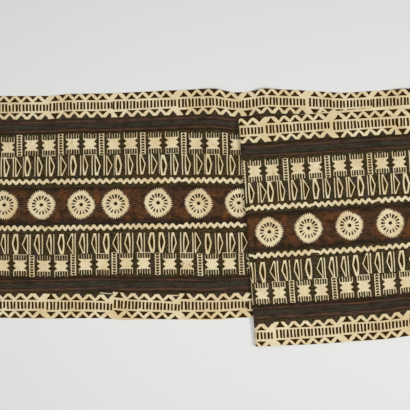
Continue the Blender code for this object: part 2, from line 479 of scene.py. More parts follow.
def zigzagStencil(teeth, length):
    # the zigzag dies away to a thin line at both ends of the stencil
    cut = zigzagCut
    inner = [(a + b) / 2 for a, b in zip(teeth, teeth[1:])]
    if length - teeth[-1] > cut["room"]:
        inner.append(teeth[-1] + cut["lastTooth"])
    upper, lower = [], []
    last = cut["endIn"] if len(inner) < len(teeth) else 0.0
    for x, y in ((0.0, cut["endIn"]), (length + 0.5, last)):
        upper.append((x, y + cut["thin"] / 2))
        lower.append((x, y - cut["thin"] / 2))
    for i, x in enumerate(sorted([*teeth, *inner])):
        outer = x in teeth
        y = cut["swing"] * (1 if outer else -1)
        thick = cut["thick"] + 0.4 * math.sin(2.1 * i)
        high, low = (cut["flat"], 0.4) if outer else (0.4, cut["flat"])
        upper += [(x - high, y + thick / 2), (x + high, y + thick / 2)]
        lower += [(x - low, y - thick / 2), (x + low, y - thick / 2)]
    return [("bark", sorted(lower) + sorted(upper, reverse=True))]


rosetteCut = {
    "radius": 26.4,
    "corner": 0.6,  # how much further it reaches up, down and sideways than between
    "peak": 1.4,  # how much further the top and the foot reach
    "dent": 2.2,  # how much less it reaches beside the top
    "dentAt": math.radians(58),
    "teeth": 42,
    "tooth": 4.4,
    "dashes": 16,
    "dashFrom": 11.4,
    "dashTo": 19.0,
    "dashHalf": (1.1, 2.1),  # a dash's half width at its inner and its outer end
    "eye": 4.6,
    "eyeDent": 0.78,  # how far the eye reaches between its five lobes, as a share
}


def rosetteStencil():
    # a toothed disc with a ring of dashes and an eye
    cut = rosetteCut
    rim = []
    for i in range(2 * cut["teeth"]):
        angle = math.pi * (i + 0.2 * math.sin(2.9 * i)) / cut["teeth"]
        reach = cut["radius"] + cut["peak"] * abs(math.sin(angle)) ** 5
        reach += cut["corner"] * math.cos(4 * angle)
        reach -= cut["dent"] * math.exp(-((4 * (angle - cut["dentAt"])) ** 2))
        reach += cut["tooth"] * (0.5 if i % 2 else -0.5) + 0.5 * math.sin(1.3 * i)
        rim.append((reach * math.cos(angle), reach * math.sin(angle)))
    shapes = [("bark", rim)]
    for i in range(cut["dashes"]):
        angle = 2 * math.pi * (i + 0.25) / cut["dashes"]
        out = (math.cos(angle), math.sin(angle))
        aside = (-out[1], out[0])
        shift = 0.8 * math.sin(2.4 * i) - 0.8 * math.sin(angle)
        fat = 1 + 0.2 * math.sin(3.7 * i) + 0.15 * math.sin(angle)
        thin, wide = cut["dashHalf"]
        spots = [(cut["dashFrom"] + shift, thin), (cut["dashTo"] + 0.5 * shift, wide)]
        dash = [(r, w * fat) for r, w in spots] + [(r, -w * fat) for r, w in reversed(spots)]
        shapes.append(("dye", [(out[0] * r + aside[0] * w, out[1] * r + aside[1] * w) for r, w in dash]))
    lobes = [(a * math.pi / 5, cut["eye"] * (1.0 if a % 2 else cut["eyeDent"])) for a in range(10)]
    shapes.append(("dye", [(r * math.cos(a), 0.9 * r * math.sin(a)) for a, r in lobes]))
    return shapes


def repeats(*runs):
    # where a stencil is laid down, from rows of first place, spacing and number
    return [start + i * pitch for start, pitch, count in runs for i in range(count)]


# Each row of the print, in millimetres and degrees. side is 1 in the far half and -1 in the near
# one, and line is its place in rowsFrom. slip along the strip and tilt are how far the hand strays
# in laying the stencil down at each of its places. sway is how far outwards from its line the row
# runs, as places along and offsets. leans turn single layings, and flip turns a stencil of that
# length end to end.
printRow = namedtuple(
    "printRow", "name shapes side line slip tilt seed places sway leans flip", defaults=[None, 0]
)
nearBorderPlaces = [15.4, 150.4, 284.0, 418.2, 549.5] + repeats((683, 133, 5), (1295.5, 125.8, 6))
printRows = [
    printRow(
        "farBorder", borderStencil(1.0, 2.4), 1, "border", 0.4, 0.5, 1,
        [31, 161, 288.5, 420.4, 549, 684.3, 812.2]
        + repeats((939.5, 128.5, 3), (1315.3, 125.2, 6))
        + [2073, 2207.8, 2333.3, 2461, 2589],
        [(31, -0.8), (161, 0.2), (289, -1.4), (420, -3), (504, -1.5), (650, 0), (2000, -1.5), (2288, -3)],
        [0, -0.8, 0, 0.7] + [0] * 17,
    ),
    printRow(
        "nearBorder", borderStencil(1.03, 0.0), -1, "border", 0.4, 0.5, 2,
        nearBorderPlaces + [2063.5, 2197.5, 2331, 2465, 2598],
        [(15, -3), (150, -2.4), (286, -7.2), (418, -4), (504, -2.2)]
        + [(2064, 0), (2176, -0.8), (2197, -2.8), (2288, -3)],
        [0.8, -0.9, -3.6, -0.9] + [0] * 11 + [-2.0] + [0] * 5,
    ),
    printRow(
        "nearLines", lastLine, -1, "border", 0.0, 0.3, 17,
        nearBorderPlaces[1:3],
        [(150, -5.2), (286, -1)],
    ),
    printRow(
        "farStars", starStencil(1, 0.66), 1, "stars", 0.8, 0.5, 3,
        [18.6, 101] + repeats((182.5, 82.6, 14)),
        [(19, -1.5), (101, 1.6), (182, 1.8), (280, 1), (360, 0.5), (430, -2.9), (504, -2)],
    ),
    printRow(
        "nearStars", starStencil(1, 0.66), -1, "stars", 0.8, 0.5, 4,
        [40.4, 123.4, 205.2, 286.6, 374.0] + repeats((457.4, 83.3, 10)),
        [(120, -3), (200, -4.5), (287, -8.2), (374, -6.0), (440, -5.5)],
    ),
    printRow(
        "farStarsTop", starStencil(-1, 1.0), 1, "stars", 0.6, 0.5, 5,
        repeats((1334, 85.9, 9), (2107, 83.9, 7)),
        [(2064, -3), (2288, -3)],
    ),
    printRow(
        "nearStarsTop", starStencil(-1, 1.0), -1, "stars", 0.6, 0.5, 6,
        repeats((1294, 80.3, 10), (2102, 85, 7)),
        [(2064, -0.5), (2120, -2.5), (2232, -2.8), (2288, -4)],
    ),
    printRow(
        "farKites", kiteStencil(4), 1, "kites", 0.8, 0.6, 7,
        repeats((19.4, 90.5, 14)),
        [(120, 3), (200, 3.5), (280, 3.5), (360, 2.0), (382, 0.9), (440, 0.5)],
    ),
    printRow(
        "farKitesTop", kiteStencil(3), 1, "kites", 0.8, 0.6, 14,
        repeats((1288, 86.5, 9), (2067, 90.2, 7)),
        [(2064, -0.4), (2232, -0.4), (2288, -1.5)],
    ),
    printRow(
        "nearKitesLeft", kiteStencil(3), -1, "kites", 0.8, 0.6, 8,
        repeats((7.0, 90.4, 4)),
        [(120, -1.5), (200, -2), (280, -3), (360, -4)],
        flip=kiteLength,
    ),
    printRow(
        "nearKites", kiteStencil(3), -1, "kites", 0.8, 0.6, 9,
        [375.4] + repeats((468.7, 90.6, 9)),
        [(360, -4), (440, -4), (469, -2), (504, -3)],
    ),
    printRow(
        "nearKitesTop", kiteStencil(3), -1, "kites", 0.8, 0.6, 10,
        repeats((1280, 85.1, 8), (1961.4, 93.2, 8)),
        [(2064, 1), (2120, 1), (2176, 0), (2232, -2.5), (2288, -4)],
        flip=kiteLength,
    ),
    printRow(
        "farZigzag", zigzagStencil(zigzagTeeth, 131.0), 1, "zigzag", 0.3, 0.3, 11,
        [-105, 28.6, 162.4] + repeats((292.6, 130.9, 3), (685.3, 136, 8)),
        [(120, 2), (280, 1.5), (440, 0.7), (2064, -0.5)],
    ),
    printRow(
        "nearZigzag", zigzagStencil(zigzagTeeth, 131.0), -1, "zigzag", 0.3, 0.3, 12,
        [-107, 24.4] + repeats((156, 130.4, 4), (677.6, 136, 8)),
        [(120, -3), (200, -2.5), (286, -6), (360, -7), (504, -6)],
    ),
    printRow(
        "farZigzagTop", zigzagStencil(zigzagTopTeeth, 126.5), 1, "zigzag", 0.3, 0.3, 15,
        repeats((1775.6, 126.5, 7)),
        [(2028, 0.8), (2155, -0.6), (2288, -1)],
    ),
    printRow(
        "nearZigzagTop", zigzagStencil(zigzagTopTeeth, 131.2), -1, "zigzag", 0.3, 0.3, 16,
        repeats((1764.9, 131.2, 7)),
        [(2064, -1), (2176, -0.5), (2288, -1)],
    ),
    printRow(
        "rosettes", rosetteStencil(), 1, "rosettes", 0.8, 3.0, 13,
        [-8, 68, 143, 223, 290.5, 376, 457.5, 538]
        + repeats((613, 79, 18))
        + [2065, 2144, 2226, 2307, 2390, 2471, 2553, 2634],
        [(120, 1.5), (200, 1.5), (280, 2.5), (360, 4), (440, 1), (504, 2.5)]
        + [(2064, -2.5), (2120, 0), (2288, -1)],
        [7] * 3 + [-11] * 23 + [0, -5] + [12] * 6,
    ),
]
hand = {
    "drift": 0.6 * mm,  # how far each laying of a stencil strays across the strip
    "wobble": 0.25 * mm,  # the raggedness of each cut corner
}
turns = ("bark", "dye")  # the order that a stencil's shapes are painted in


def stencilTree(bark, dye):
    # lays a stencil down at each place of a row, a little askew, and roughens its corners
    tree = bpy.data.node_groups.new("stencil row", "GeometryNodeTree")
    sockets = {"Places": "Geometry", "Stencil": "Object", "Seed": "Int"}
    sockets.update(dict.fromkeys(("Slip", "Drift", "Tilt", "Wobble"), "Float"))
    for name, kind in sockets.items():
        tree.interface.new_socket(name, in_out="INPUT", socket_type="NodeSocket" + kind)
    tree.interface.new_socket("Print", in_out="OUTPUT", socket_type="NodeSocketGeometry")
    given = addNode(tree, "NodeGroupInput").outputs
    vector = {"data_type": "FLOAT_VECTOR"}

    def astray(limits):
        # a random vector within so much either way
        most = addNode(tree, "ShaderNodeCombineXYZ", links=limits)
        least = addNode(tree, "ShaderNodeVectorMath", {"operation": "SCALE"}, {"Vector": most, "Scale": -1.0})
        return addNode(tree, "FunctionNodeRandomValue", vector, {0: least, 1: most, "Seed": given["Seed"]})

    shift = astray({"X": given["Slip"], "Y": given["Drift"]})
    moved = addNode(tree, "GeometryNodeSetPosition", links={"Geometry": given["Places"], "Offset": shift})
    tilt = astray({"Z": given["Tilt"]})
    lean = addNode(tree, "GeometryNodeInputNamedAttribute", vector, {"Name": "lean"})
    askew = addNode(tree, "ShaderNodeVectorMath", {"operation": "ADD"}, {0: tilt, 1: lean})
    stencil = addNode(tree, "GeometryNodeObjectInfo", links={"Object": given["Stencil"]}).outputs["Geometry"]
    laid = addNode(
        tree, "GeometryNodeInstanceOnPoints", links={"Points": moved, "Instance": stencil, "Rotation": askew}
    )
    real = addNode(tree, "GeometryNodeRealizeInstances", links={"Geometry": laid})
    jog = astray({"X": given["Wobble"], "Y": given["Wobble"]})
    cut = addNode(tree, "GeometryNodeSetPosition", links={"Geometry": real, "Offset": jog})
    turn = addNode(tree, "GeometryNodeInputNamedAttribute", {"data_type": "INT"}, {"Name": "turn"})
    same = {"data_type": "INT", "operation": "EQUAL"}
    dyed = addNode(tree, "FunctionNodeCompare", same, {2: turn, 3: turns.index("dye")})
    plain = addNode(tree, "GeometryNodeSetMaterial", links={"Geometry": cut, "Material": bark})
    inked = addNode(
        tree, "GeometryNodeSetMaterial", links={"Geometry": plain, "Selection": dyed, "Material": dye}
    )
    addNode(tree, "NodeGroupOutput", links={"Print": inked})
    return tree


def stencilObject(row):
    # the stencil as a flat mesh whose faces know their turn in the painting
    points, faces = [], []
    for _, outline in row.shapes:
        faces.append(range(len(points), len(points) + len(outline)))
        for x, y in outline:
            points.append(((row.flip - x if row.flip else x) * mm, row.side * y * mm, 0.0))
    mesh = bpy.data.meshes.new(row.name)
    mesh.from_pydata(points, [], faces)
    marks = mesh.attributes.new("turn", "INT", "FACE")
    for mark, (tone, _) in zip(marks.data, row.shapes):
        mark.value = turns.index(tone)
    return addObject(row.name + "Stencil", mesh)


def printShapes(tree):
    # every shape of the print on the flat strip, as tone and outline, in the order it goes down
    shapes = []
    for row in printRows:
        stencil = stencilObject(row)
        mesh = bpy.data.meshes.new(row.name)
        sway = rowsFrom[row.line] + np.interp(row.places, *zip(*row.sway))
        spots = [(x * mm, row.side * y * mm, 0.0) for x, y in zip(row.places, sway)]
        mesh.from_pydata(spots, [], [])
        leans = mesh.attributes.new("lean", "FLOAT_VECTOR", "POINT")
        for spot, degrees in zip(leans.data, row.leans or [0] * len(spots)):
            spot.vector = (0, 0, math.radians(degrees))
        laid = addObject(row.name, mesh)
        nodes = laid.modifiers.new("print", "NODES")
        nodes.node_group = tree
        values = {
            "Stencil": stencil,
            "Slip": row.slip * mm,
            "Drift": hand["drift"],
            "Tilt": math.radians(row.tilt),
            "Wobble": hand["wobble"],
            "Seed": row.seed,
        }
        for socket in tree.interface.items_tree:
            if socket.name in values:
                nodes[socket.identifier] = values[socket.name]
        ready = laid.evaluated_get(bpy.context.evaluated_depsgraph_get())
        done = bpy.data.meshes.new_from_object(ready)
        names = [m.name if m else "" for m in done.materials]
        marks = done.attributes["turn"].data
        rowShapes = []
        for face in done.polygons:
            outline = [tuple(done.vertices[i].co[:2]) for i in face.vertices]
            rowShapes.append((marks[face.index].value, names[face.material_index], outline))
        shapes += [shape[1:] for shape in sorted(rowShapes, key=lambda shape: shape[0])]
        for ob in (laid, stencil):
            bpy.data.objects.remove(ob)
    return shapes


bands = {
    "step": 14 * mm,  # how often the brushing hand strays
    "field": 187.0 * mm,  # the dark ground reaches this far from the centre line
    "centre": 37.0 * mm,  # the brown band under the rosettes
    "far": (145.0 * mm, 173.5 * mm),  # the striped dark bands beside the borders
    "near": (139.0 * mm, 171.0 * mm),
}


def wavyBand(low, high, stray):
    # a band brushed along the strip between two distances from its centre line, by an unsure hand
    draw = random.Random(round(high / mm))
    count = int(clothLength / bands["step"]) + 2
    places = [(i - 0.5) * bands["step"] for i in range(count + 1)]
    near = [(x, low + draw.uniform(-stray, stray)) for x in places]
    far = [(x, high + draw.uniform(-stray, stray)) for x in places]
    return near + far[::-1]


def groundShapes():
    field, centre, far, near = bands["field"], bands["centre"], bands["far"], bands["near"]
    return [
        ("ground dye", wavyBand(-field, field, 0.3 * mm)),
        ("brushed dye", wavyBand(-centre, centre, 1.0 * mm)),
        ("brushed dye", wavyBand(far[0], far[1], 0.4 * mm)),
        ("brushed dye", wavyBand(-near[1], -near[0], 0.4 * mm)),
    ]


sheetMesh = {
    "edgeStep": 4 * mm,
    "edgeRough": 0.35 * mm,
    "endSteps": 100,
    "endRough": 0.7 * mm,
    "grid": 8 * mm,
    "backGrid": 12 * mm,
    "foldStep": 0.9 * mm,
    "foldMargin": 3 * mm,
    "foldSlope": 0.2,  # where the cloth's line rises more steeply, it is in a turn
    "normalStep": 0.4 * mm,
}


def stripOutline():
    # the trimmed edge of the flat strip, a little rough, going round with the cloth on its left
    draw = random.Random(21)
    half, rough, end = strip["halfWidth"], sheetMesh["edgeRough"], sheetMesh["endRough"]
    count = int(clothLength / sheetMesh["edgeStep"])
    lengthwise = [clothLength * i / count for i in range(1, count)]
    steps = sheetMesh["endSteps"]
    across = [half * (2 * i / steps - 1) for i in range(steps + 1)]
    outline = [(draw.uniform(0, end), y) for y in reversed(across)]
    outline += [(x, draw.uniform(0, rough) - half) for x in lengthwise]
    outline += [(clothLength - draw.uniform(0, end), y) for y in across]
    outline += [(x, half - draw.uniform(0, rough)) for x in reversed(lengthwise)]
    return outline


def foldLines():
    # closely spaced lines across the cloth at its two turns, so that they bend smoothly
    slope = np.abs(np.gradient(clothLine[2], clothAlong))
    steep = clothAlong[slope > sheetMesh["foldSlope"]]
    apart = clothLength * 0.6  # a place between the two turns
    lines = []
    for turn in (steep[steep < apart], steep[steep > apart]):
        start, end = turn[0] - sheetMesh["foldMargin"], turn[-1] + sheetMesh["foldMargin"]
        lines += list(np.arange(start, end, sheetMesh["foldStep"]))
    return lines


def meshFlat(outlines, spacing):
    # the flat strip in triangles whose edges follow every outline: its points, its triangles, the
    # last outline round each of these, and what each point came from
    points, faces, edges = [], [], []
    for outline in outlines:
        area = sum(a[0] * b[1] - b[0] * a[1] for a, b in zip(outline, outline[1:] + outline[:1]))
        ordered = outline if area > 0 else outline[::-1]
        faces.append(range(len(points), len(points) + len(outline)))
        points += [Vector(p) for p in ordered]
    reach = strip["halfWidth"] - 0.5 * spacing
    rows = int(2 * reach / spacing)
    columns = int(clothLength / spacing)
    for i in range(1, columns):
        for j in range(rows + 1):
            points.append(Vector((clothLength * i / columns, reach * (2 * j / rows - 1))))
    beyond = 1.01 * strip["halfWidth"]
    for x in foldLines():
        edges.append((len(points), len(points) + 1))
        points += [Vector((x, -beyond)), Vector((x, beyond))]
    flat, _, triangles, origins, _, owners = delaunay_2d_cdt(points, edges, faces, 0, 1e-6)
    kept = [(t, max(o)) for t, o in zip(triangles, owners) if 0 in o]
    used = sorted({i for t, _ in kept for i in t})
    place = {old: new for new, old in enumerate(used)}
    faces = [[place[i] for i in t] for t, _ in kept]
    return np.array(flat)[used], faces, [o for _, o in kept], [origins[i] for i in used]


def rimLoop(triangles):
    # the edge of a flat mesh, in order, with the cloth on its left
    ways = {(a, b) for t in triangles for a, b in zip(t, t[1:] + t[:1])}
    after = {a: b for a, b in ways if (b, a) not in ways}
    loop = [min(after)]
    while after[loop[-1]] != loop[0]:
        loop.append(after[loop[-1]])
    return loop


# how the piece's own bake map shares its square, so that what shows gets the most of it: the part
# of the strip, then the low corner and size of its patch in the square, and if it stands upright
mapPatch = namedtuple("mapPatch", "start end near far x y wide high upright")
edgeAt = strip["halfWidth"]
mapPatches = {
    "first": mapPatch(0.0, 0.61, -edgeAt, edgeAt, 0.004, 0.004, 0.662, 0.485, False),
    "last": mapPatch(2.005, 2.643, -edgeAt, edgeAt, 0.004, 0.505, 0.690, 0.485, False),
    "edge": mapPatch(0.61, 1.06, 0.150, edgeAt, 0.705, 0.505, 0.080, 0.485, True),
    "hidden": mapPatch(0.61, 2.005, -edgeAt, edgeAt, 0.795, 0.005, 0.100, 0.985, True),
    "back": mapPatch(0.0, 2.643, -edgeAt, edgeAt, 0.905, 0.005, 0.085, 0.985, True),
    "rim": mapPatch(0.0, 1.0, 0.0, 1.0, 0.675, 0.005, 0.020, 0.485, True),
}


def bakePlace(patch, along, across):
    u = (along - patch.start) / (patch.end - patch.start)
    v = (across - patch.near) / (patch.far - patch.near)
    if patch.upright:
        u, v = v, u
    return np.column_stack([patch.x + patch.wide * u, patch.y + patch.high * v])


def printedPatch(along, across):
    # the patch that a place on the printed side belongs to
    if along < mapPatches["first"].end:
        return "first"
    if along > mapPatches["last"].start:
        return "last"
    shows = along < mapPatches["edge"].end and across > mapPatches["edge"].near
    return "edge" if shows else "hidden"


def mapCloth(mesh, flat, patches, rimCount):
    # the map that the dyes are laid on by, in metres on the flat strip, and the piece's bake map
    corners = np.empty(len(mesh.loops), dtype=np.int32)
    mesh.loops.foreach_get("vertex_index", corners)
    mesh.uv_layers.new(name="clothMap").uv.foreach_set("vector", flat[corners].ravel())
    patchOf = np.repeat(patches, [face.loop_total for face in mesh.polygons])
    bake = np.zeros((len(corners), 2))
    for name, patch in mapPatches.items():
        chosen = patchOf == name
        bake[chosen] = bakePlace(patch, *flat[corners[chosen]].T)
    rimPlaces = []
    for i in range(rimCount):
        low, high = i / rimCount, (i + 1) / rimCount
        rimPlaces += [(high, 0), (low, 0), (low, 0.5), (high, 0.5)]
        rimPlaces += [(high, 0.5), (low, 0.5), (low, 1), (high, 1)]
    bake[patchOf == "rim"] = bakePlace(mapPatches["rim"], *np.array(rimPlaces).T)
    mesh.uv_layers.new(name="OFBake").uv.foreach_set("vector", bake.ravel())
    mesh.uv_layers["clothMap"].active_render = True


def barkCloth(materials, shapes):
    # the strip as a thin closed sheet with the print cut into its face, laid in its folds
    tones = {m.name: i for i, m in enumerate(materials)}
    outline = stripOutline()
    toneOf = [tones["undyed bark"]] + [tones[tone] for tone, _ in shapes]
    front, frontFaces, owners, _ = meshFlat([outline] + [s for _, s in shapes], sheetMesh["grid"])
    rim = rimLoop(frontFaces)
    back, backFaces, _, origins = meshFlat([[tuple(front[i]) for i in rim]], sheetMesh["backGrid"])
    backOf = {}
    for index, sources in enumerate(origins):
        for source in sources:
            backOf[source] = index
    half = strip["thickness"] / 2
    edge = front[rim]
    frontNormal, backNormal = facing(*front.T), facing(*back.T)
    ahead = onCloth(*np.roll(edge, -1, axis=0).T) - onCloth(*np.roll(edge, 1, axis=0).T)
    edgeNormal = np.cross(ahead, facing(*edge.T))
    edgeNormal /= np.linalg.norm(edgeNormal, axis=1)[:, None]
    points = np.vstack([
        onCloth(*front.T) + half * frontNormal,
        onCloth(*back.T) - half * backNormal,
        onCloth(*edge.T) + strip["rimBulge"] * half * edgeNormal,
    ]) + toSolid
    normals = np.vstack([frontNormal, -backNormal, edgeNormal])
    flat = np.vstack([front, back, edge])
    backStart, rimStart = len(front), len(front) + len(back)
    faces = [tuple(t) for t in frontFaces]
    faces += [tuple(backStart + i for i in reversed(t)) for t in backFaces]
    slots = [toneOf[o] for o in owners] + [tones["bare back"]] * len(backFaces)
    patches = [printedPatch(*front[t].mean(axis=0)) for t in frontFaces]
    patches += ["back"] * len(backFaces)
    count = len(rim)
    for i in range(count):
        j = (i + 1) % count
        below = (backStart + backOf[i], backStart + backOf[j])
        faces.append((rim[j], rim[i], rimStart + i, rimStart + j))
        faces.append((rimStart + j, rimStart + i, below[0], below[1]))
        slots += [tones["bare back"]] * 2
        patches += ["rim"] * 2
    mesh = bpy.data.meshes.new("bark_cloth")
    mesh.from_pydata(points.tolist(), [], faces)
    mesh.polygons.foreach_set("material_index", slots)
    for material in materials:
        mesh.materials.append(material)
    mapCloth(mesh, flat, patches, count)
    mesh.shade_smooth()
    mesh.normals_split_custom_set_from_vertices(normals.tolist())
    print("cloth", len(faces), "faces,", len(shapes), "printed shapes")
    return addObject("barkCloth", mesh)


# Bark cloth: the inner bark of the paper mulberry, soaked, beaten with a grooved mallet and felted
# into one sheet. It gives a dry, matt, paper-like face with long fine fibres and faint grooves.
beaten = {
    "fibreMm": (14.0, 0.9),  # how long and how wide the fibres are
    "grooveMm": 13.8,  # between mallet grooves: the real 2 to 4 mm is too fine to show
    "grooveShare": 0.25,  # how deep the grooves are beside the fibres
    "reliefMm": 0.12,
    "reliefStrength": 0.5,
    "gloss": 0.04,
}

# A layer of colour is a tone in soft patches, so many mm along and across the strip, the detail
# and seed of their noise, where that noise starts and ends to show it, and how strong it is at
# most. The finest real grain is about 0.5 mm, and is drawn at 2 to 4 mm so that it shows.
# sideLayers fade in between two distances from the strip's middle, in mm: there is nothing of them
# at the first and all at the second.

# bare beaten bark: cream, with warmer patches, pale fibres and a few brown flecks
barkLook = {
    "base": "#E2D5B0",
    "layers": [
        ("#D4BD90", 55, 55, 3, 0, 0.35, 0.70, 1.0),  # warmer patches
        ("#D8C1A0", 26, 18, 2, 17, 0.50, 0.70, 0.8),  # pinker ones
        ("#D4BD90", 14, 0.9, 5, 3, 0.52, 0.75, 0.35),  # long fibres
        ("#A27C4C", 5, 2.5, 4, 7, 0.66, 0.74, 0.6),  # flecks of outer bark
        ("#B9A274", 3.2, 2.0, 2, 31, 0.48, 0.70, 0.45),  # grain
    ],
    "sideLayers": [("#7C6440", 7, 12, 3, 21, 0.58, 0.78, 0.7)],  # dye that crept under a stencil
    "side": (148, 136),
    "roughness": 0.88,
}
# soot and clay rubbed on as the ground: olive black, browner, greener or greyer in patches, worn
# through to the bark on the high fibres
groundLook = {
    "base": "#3A321A",
    "layers": [
        ("#47351C", 38, 38, 3, 0, 0.42, 0.66, 0.9),  # browner patches
        ("#37351B", 60, 22, 2, 5, 0.48, 0.70, 0.8),  # greener ones
        ("#474033", 24, 14, 3, 41, 0.52, 0.68, 0.7),  # greyer ones
        ("#43363A", 16, 26, 2, 23, 0.55, 0.68, 0.6),  # a tinge of plum
        ("#1C160B", 5, 3.5, 3, 14, 0.46, 0.60, 0.9),  # where the dye lies thick
        ("#7E663C", 3.6, 2.2, 3, 2, 0.54, 0.70, 0.5),  # bark showing through
    ],
    "sideLayers": [("#3A332A", 40, 20, 2, 6, 0.25, 0.45, 0.5)],  # greyer beside the borders
    "side": (170, 178),
    "roughness": 0.72,
}
# the same dye dabbed through a cut leaf, with more clay: a thicker, browner black
stencilLook = {
    "base": "#342503",
    "layers": [
        ("#3C2605", 30, 18, 3, 6, 0.45, 0.65, 0.7),  # redder patches
        ("#2D2808", 24, 12, 2, 5, 0.48, 0.66, 0.7),  # greener ones
        ("#1B1103", 5, 3.5, 3, 14, 0.48, 0.62, 0.6),  # where the dye lies thick
        ("#7E6238", 3.6, 2.2, 3, 2, 0.56, 0.74, 0.35),  # bark showing through
    ],
    "sideLayers": [("#351E00", 40, 20, 2, 6, 0.25, 0.45, 0.7)],  # browner in the borders
    "side": (174, 184),
    "roughness": 0.70,
}
# brown dye brushed on by hand: streaked, blotched, and darker at its edges, with two thin
# red-brown lines in each side band
brushedLook = {
    # in the near half the side lines lie nearer to the middle, by the first at the start of the
    # strip and by the second further on, changing between these places along
    "nearShift": (1.9 * mm, 5.2 * mm),
    "nearShiftAlong": (0.08, 0.26),
    # all the lines stray so much to the near side on the way to the last layer
    "slide": 3.2 * mm,
    "slideAlong": (1.0, 2.0),
    # and they sway by so much, in waves so many to a metre along and across
    "sway": 5 * mm,
    "swayWaves": (10.5, 5.0, 1.0),
    "reach": 200 * mm,
    "middleTo": (38, 28),  # where the brown under the rosettes ends, in mm from the middle
    "zones": [  # millimetres from the middle of the strip, and the tone there
        (0.0, "#4C3423"),
        (25.0, "#4A3322"),
        (33.0, "#2A2014"),
        (143.0, "#30250E"),
        (149.2, "#2E2116"),
        (150.4, "#5E432D"),
        (151.8, "#5E432D"),
        (153.0, "#2E2218"),
        (157.5, "#3A362A"),
        (164.0, "#3A362A"),
        (166.2, "#33221C"),
        (168.4, "#5A4234"),
        (170.4, "#56402F"),
        (172.6, "#2F2417"),
        (176.0, "#30250E"),
    ],
    "middle": [
        ("#663D20", 16, 40, 3, 4, 0.46, 0.62, 0.85),  # rusty patches
        ("#442F20", 34, 24, 3, 47, 0.46, 0.62, 0.80),  # plum ones
        ("#251D13", 26, 20, 3, 9, 0.50, 0.62, 0.65),  # charcoal blotches
        ("#1A130A", 10, 7, 3, 14, 0.50, 0.62, 0.45),  # where the dye lies thick
        ("#8A6642", 6, 3.4, 3, 8, 0.54, 0.70, 0.26),  # bark showing through
    ],
    "sides": [
        ("#241D1A", 50, 14, 3, 9, 0.50, 0.64, 0.5),
        ("#3E3234", 60, 9, 3, 43, 0.50, 0.66, 0.5),  # plum strokes along
        ("#20180C", 60, 1.8, 3, 6, 0.46, 0.66, 0.5),  # the brush's streaks
        ("#170F06", 18, 2.4, 3, 14, 0.50, 0.64, 0.5),
        ("#7E6244", 14, 1.8, 3, 8, 0.54, 0.72, 0.28),
    ],
    "roughness": 0.68,
}
# the unprinted side, duller and more fibrous than the face
backLook = {
    "base": "#E4D4AE",
    "layers": [
        ("#D2BA8A", 45, 45, 4, 12, 0.35, 0.70, 1.0),
        ("#D2BA8A", 14, 0.9, 5, 13, 0.50, 0.72, 0.5),
    ],
    "roughness": 0.92,
    "sheen": 0.1,
}


def newMaterial(name):
    material = bpy.data.materials.new(name)
    material.use_nodes = True
    material.node_tree.nodes.clear()
    return material, material.node_tree


def layTones(tree, cloth, colour, layers, within=None):
    # lays each tone over the colour so far, only within a part of the strip if one is given
    for tone, along, across, detail, seed, low, high, most in layers:
        sizes = {"Location": [seed] * 3, "Scale": (1000 / along, 1000 / across, 1.0)}
        spread = addNode(tree, "ShaderNodeMapping", links={"Vector": cloth, **sizes})
        grain = {"Vector": spread, "Scale": 1.0, "Detail": detail}
        noise = addNode(tree, "ShaderNodeTexNoise", links=grain)
        soft = {"interpolation_type": "SMOOTHSTEP"}
        limits = {"Value": noise, "From Min": low, "From Max": high, "To Max": most}
        amount = addNode(tree, "ShaderNodeMapRange", soft, limits)
        if within is not None:
            amount = addNode(tree, "ShaderNodeMath", {"operation": "MULTIPLY"}, {0: amount, 1: within})
        mix = {0: amount, 6: colour, 7: linear(tone)}
        colour = addNode(tree, "ShaderNodeMix", {"data_type": "RGBA"}, mix).outputs[2]
    return colour


def sideMask(tree, cloth, none, full):
    # rises from nothing to all between two distances, in mm, from the strip's middle
    across = addNode(tree, "ShaderNodeSeparateXYZ", links={"Vector": cloth}).outputs["Y"]
    distance = addNode(tree, "ShaderNodeMath", {"operation": "ABSOLUTE"}, {0: across})
    limits = {"From Min": none * mm, "From Max": full * mm}
    return addNode(tree, "ShaderNodeMapRange", links={"Value": distance, **limits})


def finishCloth(tree, cloth, colour, roughness, sheen):
    # the felted surface that every tone shares: fibres and mallet grooves as fine relief
    along, across = beaten["fibreMm"]
    scale = (1000 / along, 1000 / across, 1.0)
    spread = addNode(tree, "ShaderNodeMapping", links={"Vector": cloth, "Scale": scale})
    fibre = addNode(tree, "ShaderNodeTexNoise", links={"Vector": spread, "Scale": 1.0, "Detail": 4.0})
    grooveScale = 2 * math.pi * 1000 / beaten["grooveMm"] / 20  # the wave turns 20 radians in a unit
    groove = addNode(
        tree,
        "ShaderNodeTexWave",
        {"bands_direction": "Y"},
        {"Vector": cloth, "Scale": grooveScale, "Distortion": 3.0, "Detail": 2.0},
    )
    height = addNode(
        tree,
        "ShaderNodeMath",
        {"operation": "MULTIPLY_ADD"},
        {0: groove.outputs["Fac"], 1: beaten["grooveShare"], 2: fibre},
    )
    relief = {"Strength": beaten["reliefStrength"], "Distance": beaten["reliefMm"] * mm}
    bump = addNode(tree, "ShaderNodeBump", links={"Height": height, **relief})
    shader = addNode(
        tree,
        "ShaderNodeBsdfPrincipled",
        links={
            "Base Color": colour,
            "Roughness": roughness,
            "Specular IOR Level": beaten["gloss"],
            "Sheen Weight": sheen,
            "Sheen Roughness": 0.6,
            "Normal": bump,
        },
    )
    addNode(tree, "ShaderNodeOutputMaterial", links={"Surface": shader})


def clothMaterial(name, look):
    # a tone over the whole strip and its layers
    material, tree = newMaterial(name)
    cloth = addNode(tree, "ShaderNodeUVMap", {"uv_map": "clothMap"}).outputs[0]
    colour = layTones(tree, cloth, linear(look["base"]), look["layers"])
    if "sideLayers" in look:
        mask = sideMask(tree, cloth, *look["side"])
        colour = layTones(tree, cloth, colour, look["sideLayers"], mask)
    finishCloth(tree, cloth, colour, look["roughness"], look.get("sheen", 0.0))
    return material


